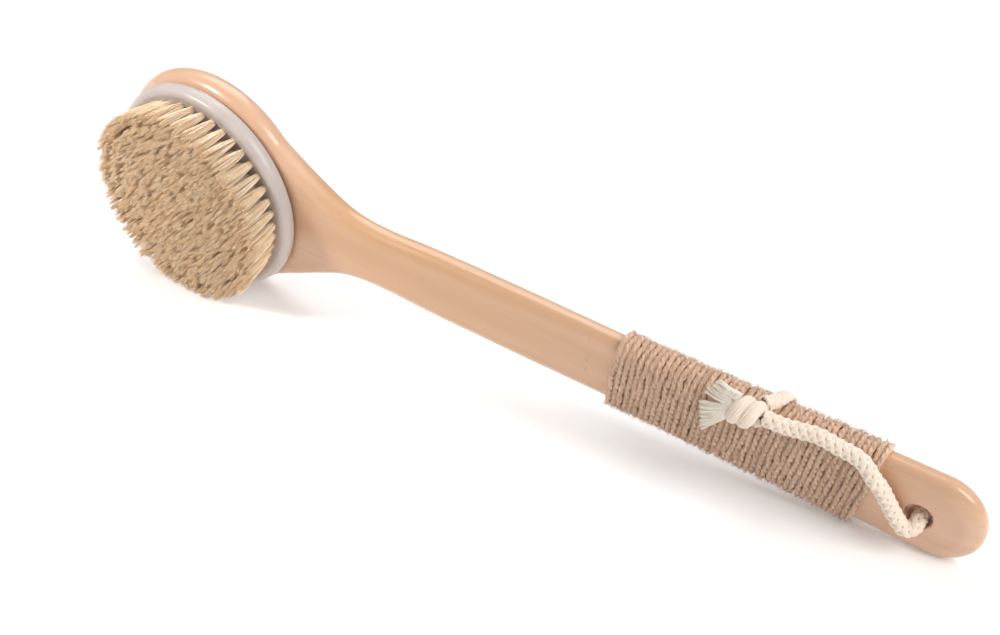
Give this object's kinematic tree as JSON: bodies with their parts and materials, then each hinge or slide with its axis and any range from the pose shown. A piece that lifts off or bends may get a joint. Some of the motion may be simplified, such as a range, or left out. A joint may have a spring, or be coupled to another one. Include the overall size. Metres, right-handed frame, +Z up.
{
  "type": "body dry brush",
  "caption": "Long-handled wooden body brush: round head of stiff natural bristle tufts in a plastic base, twine-wrapped grip and a knotted cotton hanging cord through the handle's end",
  "frame": {"origin": "on the surface that the brush lies on, under the centre of the box of the brush without its cord", "axes": "+X runs along the handle from the bristle head to the hanging hole, -Y is the side that the bristles face, +Z is up with the brush lying on its long narrow side"},
  "size_m": [0.3782, 0.0508, 0.0925],
  "materials": {
    "wood": "clear semi-gloss lacquer on pale wood",
    "plastic": "milky, slightly translucent, smooth",
    "bristle": "stiff pale natural bristle, cut level",
    "twine": "two-ply twisted jute twine, slightly fuzzy",
    "cotton": "braided natural cotton, matt"
  },
  "bodies": {
    "root": {"wood_handle": "wood", "bristle_base": "plastic", "tuft_ring_1": "bristle", "tuft_ring_2": "bristle", "tuft_ring_3": "bristle", "tuft_ring_4": "bristle", "tuft_ring_5": "bristle", "tuft_ring_6": "bristle", "tuft_ring_7": "bristle", "tuft_ring_8": "bristle", "twine_wrap": "twine", "hanging_cord": "cotton", "cord_knot": "cotton", "cord_tail_upper": "cotton", "cord_tail_lower": "cotton"}
  },
  "joints": []
}
